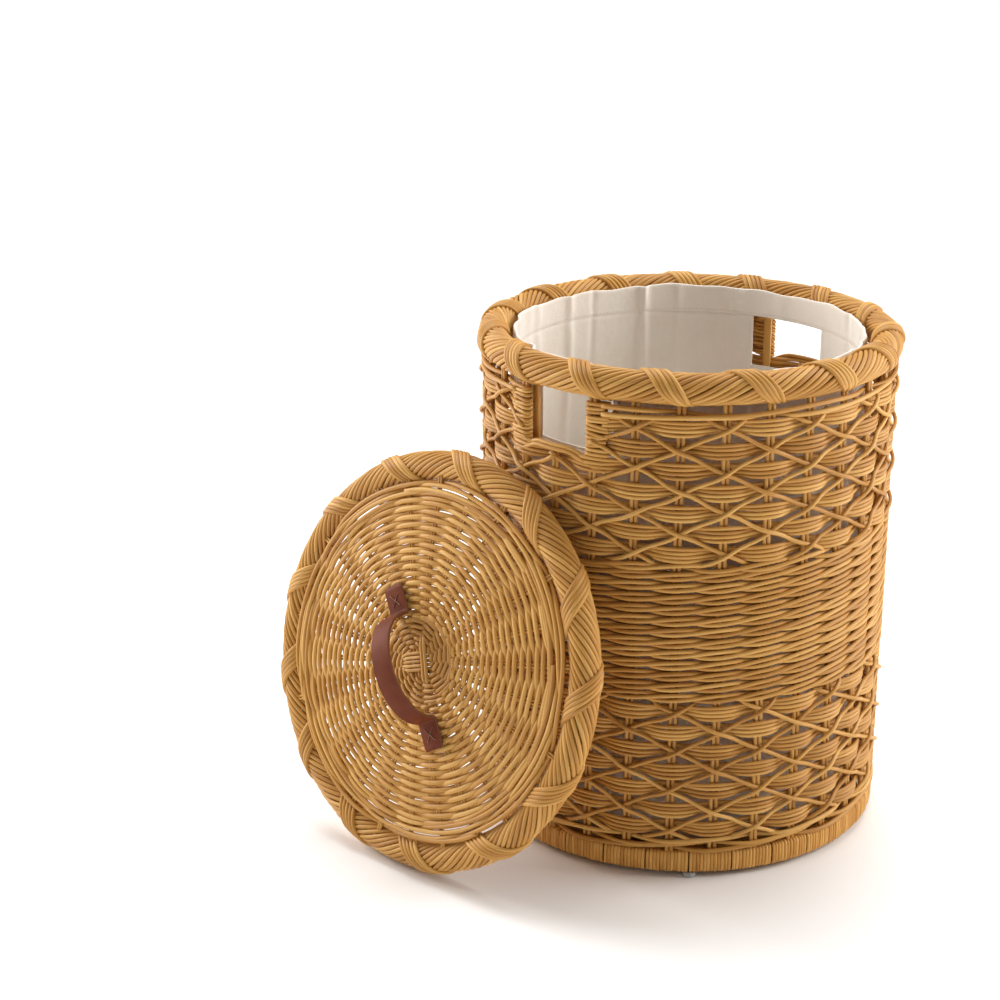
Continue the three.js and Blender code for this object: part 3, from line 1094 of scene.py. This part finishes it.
def liner_wall(pleats):
    """The liner's side, with a window cut behind each hand hole."""
    angle = np.arange(LINER_COLUMNS) * tau / LINER_COLUMNS
    rows = LINER_ROWS
    window_rows = 8
    sill_row = rows - window_rows
    height = np.concatenate(
        [
            np.linspace(LINER_BOTTOM, WINDOW_SILL, sill_row),
            np.linspace(WINDOW_SILL, HEM_BOTTOM + 1, window_rows + 1)[1:],
        ]
    )
    grid_angle, grid_height = np.meshgrid(angle, height)
    radius = liner_radius(grid_angle, grid_height, pleats)
    radius -= 5 * (1 - smooth(LINER_BOTTOM, LINER_BOTTOM + 14, grid_height))
    points = [
        on_wall(grid_angle.ravel(), layer.ravel(), grid_height.ravel())[0]
        for layer in (radius, radius - LINER_CLOTH)
    ]
    column = np.arange(LINER_COLUMNS)
    half = LINER_COLUMNS // 2
    size = rows * LINER_COLUMNS
    solid = np.ones((rows - 1, LINER_COLUMNS), bool)
    window = (column % half < WINDOW_COLUMNS) | (column % half >= half - WINDOW_COLUMNS)
    solid[sill_row - 1 :, window] = False

    def index(layer, row, place):
        return layer * size + row * LINER_COLUMNS + place % LINER_COLUMNS

    quads = []
    for r in range(rows - 1):
        for c in range(LINER_COLUMNS):
            if not solid[r, c]:
                continue
            corners = ((r, c), (r, c + 1), (r + 1, c + 1), (r + 1, c))
            quads.append(tuple(index(0, *corner) for corner in corners))
            quads.append(tuple(index(1, *corners[turn]) for turn in (0, 3, 2, 1)))
            edges = (
                (r == 0 or not solid[r - 1, c], (r, c + 1), (r, c)),
                (r == rows - 2 or not solid[r + 1, c], (r + 1, c), (r + 1, c + 1)),
                (not solid[r, c - 1], (r, c), (r + 1, c)),
                (not solid[r, (c + 1) % LINER_COLUMNS], (r + 1, c + 1), (r, c + 1)),
            )
            for at_edge, first, second in edges:
                if at_edge:
                    quads.append((index(0, *first), index(0, *second), index(1, *second), index(1, *first)))
    cloth = np.tile(cloth_place(grid_angle, grid_height), (2, 1))
    # Marks the outer layer of cloth, which the cotton material tints with painted warm light.
    cloth[:size, 2] = 1
    thing = quad_object("liner_cloth", BASKET.world(np.concatenate(points)), np.array(quads), cloth)
    clean(thing)
    return thing


def clean(thing):
    """Joins points that meet, and takes away those that no face uses."""
    mesh = bmesh.new()
    mesh.from_mesh(thing.data)
    bmesh.ops.remove_doubles(mesh, verts=mesh.verts, dist=1e-6)
    loose = [point for point in mesh.verts if not point.link_faces]
    bmesh.ops.delete(mesh, geom=loose, context="VERTS")
    mesh.to_mesh(thing.data)
    mesh.free()


def liner_hem(pleats):
    """The doubled band round the liner's mouth, which carries its folds up to a wavy top edge."""
    angle = np.arange(HEM_STEPS) * tau / HEM_STEPS
    sway = 1.0 * np.sin(angle * 5 + 1) + 0.7 * np.sin(angle * 11 + 2) + 0.5 * np.sin(angle * 23)
    outline = hem_outline()
    layers = []
    for inward, up in outline:
        height = HEM_BOTTOM - 1.5 + up * (HEM_TOP - HEM_BOTTOM) + sway * up * up
        fold = LINER_RADIUS - liner_radius(angle, height, pleats)
        lean = 0.9 * up * (1 + np.sin(angle * 9 + 2)) / 2
        radius = LINER_RADIUS + 0.4 - fold * HEM_FOLD_SHARE - lean - inward
        layers.append(on_wall(angle, radius, height)[0])
    points = np.stack(layers, axis=1).reshape(-1, 3)
    levels = np.array([up for _, up in outline]) * (HEM_TOP - HEM_BOTTOM)
    cloth = cloth_place(*np.meshgrid(angle, levels, indexing="ij"))
    quads = ring_quads(HEM_STEPS, len(outline))
    return quad_object("liner_hem_cloth", BASKET.world(points), quads, cloth)


def hem_outline():
    """The hem's section, as (how far in, how high from 0 to 1), up its outside and down its inside."""
    levels = np.linspace(0.04, 0.97, 9)
    outside = [(0.0, level) for level in levels]
    inside = [(HEM_CLOTH, level) for level in levels[::-1]]
    return [(HEM_CLOTH / 2, 0.0), *outside, (HEM_CLOTH / 2, 1.0), *inside]


def hem_stitches(pleats):
    """A line of short stitches below the casing, inside and outside."""
    weave = Weave(BASKET)
    for stitch in range(HEM_STITCHES):
        centre = stitch * tau / HEM_STITCHES
        angle = centre + np.linspace(-0.32, 0.32, 4) * tau / HEM_STITCHES
        fold = LINER_RADIUS - liner_radius(angle, HEM_BOTTOM + 2, pleats)
        for depth in (-0.4, HEM_CLOTH - 0.4):
            radius = LINER_RADIUS - HEM_FOLD_SHARE * fold - depth
            weave.along_wall(angle, radius, HEM_BOTTOM + 2, oval(0.7, 0.6, 4))
    return weave


def window_trims():
    """The bound edges of the two windows in the liner."""
    weave = Weave(BASKET)
    half = WINDOW_COLUMNS * tau / LINER_COLUMNS
    for hole in SHORT_STAKES:
        centre = hole * STAKE_STEP
        down = np.linspace(HEM_BOTTOM, WINDOW_SILL, 8)
        across = np.linspace(-half, half, 16)[1:-1]
        angle = centre + np.concatenate([down * 0 - half, across, down * 0 + half])
        height = np.concatenate([down, across * 0 + WINDOW_SILL, down[::-1]])
        weave.along_wall(angle, LINER_RADIUS - 0.6, height, rounded_strip(TRIM_WIDTH, TRIM_DEPTH, 0.5))
    return weave


def liner_base():
    """The round bottom of the liner, lying on the base with a few soft creases."""
    rings, sides = 26, 160
    radius = np.linspace(0, LINER_BASE_RADIUS, rings)
    angle = np.arange(sides) * tau / sides
    grid_angle, grid_radius = np.meshgrid(angle, radius)
    crease = 0.5 * np.sin(grid_radius / 17 + 2 * np.sin(grid_angle * 2)) * np.sin(grid_angle * 3 + 1)
    fade = smooth(0, 40, grid_radius) * (1 - smooth(140, 160, grid_radius))
    height = LINER_BOTTOM + 1.0 + crease * fade
    layers = [
        on_wall(grid_angle.ravel(), grid_radius.ravel(), (height + shift).ravel())[0]
        for shift in (0.4, -0.4)
    ]
    size = rings * sides
    quads = []
    for r in range(rings - 1):
        for s in range(sides):
            a, b = r * sides + s, r * sides + (s + 1) % sides
            c, d = a + sides, b + sides
            quads.append((a, c, d, b))
            quads.append((size + a, size + b, size + d, size + c))
    for s in range(sides):
        a, b = (rings - 1) * sides + s, (rings - 1) * sides + (s + 1) % sides
        quads.append((a, size + a, size + b, b))
    points = np.concatenate(layers)
    thing = quad_object("liner_base_cloth", BASKET.world(points), np.array(quads), points * MM)
    clean(thing)
    return thing


# Stage


def area_light(name, spot, target, power):
    """A soft box, aimed at the target."""
    data = bpy.data.lights.new(name, "AREA")
    data.shape = "SQUARE"
    data.size = BOX_SIZE
    data.energy = power
    data.color = BOX_COLOUR
    light = bpy.data.objects.new(name, data)
    light.location = spot
    light.rotation_euler = (Vector(target) - Vector(spot)).to_track_quat("-Z", "Y").to_euler()
    bpy.context.collection.objects.link(light)


def make_stage():
    """The camera, the floor, the world and the lights."""
    camera = bpy.data.objects.new("camera", bpy.data.cameras.new("camera"))
    camera.data.lens = CAMERA_LENS
    camera.data.sensor_width = 36
    right, back = CAMERA_TO_AXIS
    camera.location = (rim_middle.x + right, rim_middle.y + back, CAMERA_HEIGHT)
    camera.rotation_euler = (pi / 2 - CAMERA_PITCH, 0, CAMERA_AZIMUTH)
    bpy.context.collection.objects.link(camera)
    bpy.context.scene.camera = camera
    bpy.context.scene.view_settings.view_transform = "Standard"

    far = FLOOR_REACH
    floor = quad_object(
        "floor",
        np.array([(-far, -far, 0), (far, -far, 0), (far, far, 0), (-far, far, 0)], float),
        np.array([[0, 1, 2, 3]]),
    )
    material, node, link, shader = node_material("floor")
    speckle = node("TexNoise", {"Scale": 3.0}).outputs["Fac"]
    link(colour_ramp(node, speckle, [(0, (0.95, 0.95, 0.95)), (1, (0.97, 0.97, 0.97))]), "Base Color")
    settle(shader, {"Roughness": 0.8, "Specular IOR Level": 0.1})
    floor.data.materials.append(material)

    world = bpy.data.worlds.new("world")
    world.use_nodes = True
    background = world.node_tree.nodes["Background"]
    settle(background, {"Color": (1.0, 0.97, 0.94, 1), "Strength": 0.3})
    bpy.context.scene.world = world

    aim = Vector((rim_middle.x, rim_middle.y - 0.08, 0.24))
    right = Vector((cos(CAMERA_AZIMUTH), sin(CAMERA_AZIMUTH), 0))
    ahead = Vector((-sin(CAMERA_AZIMUTH), cos(CAMERA_AZIMUTH), 0))
    up = Vector((0, 0, 1))
    area_light("right_box", aim + right * 2.4 + ahead * 0.15 + up * 1.1, aim, 59)
    area_light("left_box", aim - right * 2.4 + ahead * 1.05 + up * 0.95, aim, 66)
    sky = bpy.data.lights.new("overhead", "SUN")
    sky.energy = 2.7
    sky.angle = radians(48)
    overhead = bpy.data.objects.new("overhead", sky)
    overhead.rotation_euler = (0.45 * ahead + up).to_track_quat("Z", "Y").to_euler()
    bpy.context.collection.objects.link(overhead)


make_stage()
make_stakes()


put_rattan("upper_slab_rows", slab_rows(CLOSE_TOP, UPPER_OPEN_TOP, 1), "upper_open_weave")
put_rattan("upper_cross_canes", cross_canes(CLOSE_TOP, UPPER_OPEN_TOP, 1))
put_rattan("sill_arches", sill_arches())
put_rattan("hole_edges", hole_edges())
put_rattan("hole_uprights", hole_uprights())
put_rattan("close_weave", close_weave(), "middle_close_weave")
put_rattan("lower_slab_rows", slab_rows(LOWER_WALE_TOP, LOWER_OPEN_TOP, 0), "lower_open_weave")
put_rattan("lower_cross_canes", cross_canes(LOWER_WALE_TOP, LOWER_OPEN_TOP, 0))
put_rattan("upper_wale", wale(UPPER_WALE_LEVELS, 5), "upper_wale_left", "upper_wale_right")
put_rattan("lower_wale_canes", wale(LOWER_WALE_LEVELS, 3), "lower_wale")
put_rattan("rim_under_canes", border_under(BASKET, RIM_RADIUS, RIM_LEVEL))
rim_over = border_bands(BASKET, RIM_RADIUS, RIM_LEVEL, RIM_BANDS, RIM_PHASE, RIM_ADVANCE)
put_rattan("rim_bands", rim_over, "rim_border")

put("foot_wraps", foot_wraps(), "basket", "wrap_cane", wrap_cane, "foot_ring_wrap")
put_rattan("base_weave", base_mat(), "base_mat")
for number in range(1, 5):
    node_name = f"glide_{number}"
    finish_piece(glide(node_name), "basket", "clear_plastic", plastic, node_name)

put_rattan("lid_under_canes", border_under(LID, LID_BORDER_RADIUS, BORDER_TUBE))
lid_over = border_bands(LID, LID_BORDER_RADIUS, BORDER_TUBE, LID_BANDS, LID_PHASE, LID_ADVANCE)
put_rattan("lid_bands", lid_over, "lid_border")
put_rattan("lid_spokes", lid_spokes())
put_rattan("lid_twined_weave", lid_weave(), "lid_disc")
put_rattan("lid_centre", lid_centre())
put_rattan("lid_wale_canes", lid_wale(), "lid_wale_ring")
put("strap", strap(), "lid", "strap_leather", leather, "handle_strap")
for end, side in (("upper", 1), ("lower", -1)):
    put(f"strap_stitches_{end}", stitches(side), "lid", "thread", thread, f"stitches_{end}")

for hoop in ("rim_hoop", "foot_hoop", "lid_hoop"):
    for slot in bpy.data.objects[hoop].material_slots:
        slot.material = core_cane

folds = make_pleats()
cloth = finish_piece(liner_wall(folds), "liner", "cotton", cotton, "liner_wall")
hem = finish_piece(liner_hem(folds), "liner", "cotton", cotton, "liner_hem")
base = finish_piece(liner_base(), "liner", "cotton", cotton, "liner_base")
seam = put("hem_stitches", hem_stitches(folds), "liner", "thread", liner_thread)
trims = put("window_trims", window_trims(), "liner", "cotton", cotton)

# Last, so that its canes draw their tints after all the others.
put_rattan("base_centre", base_centre())
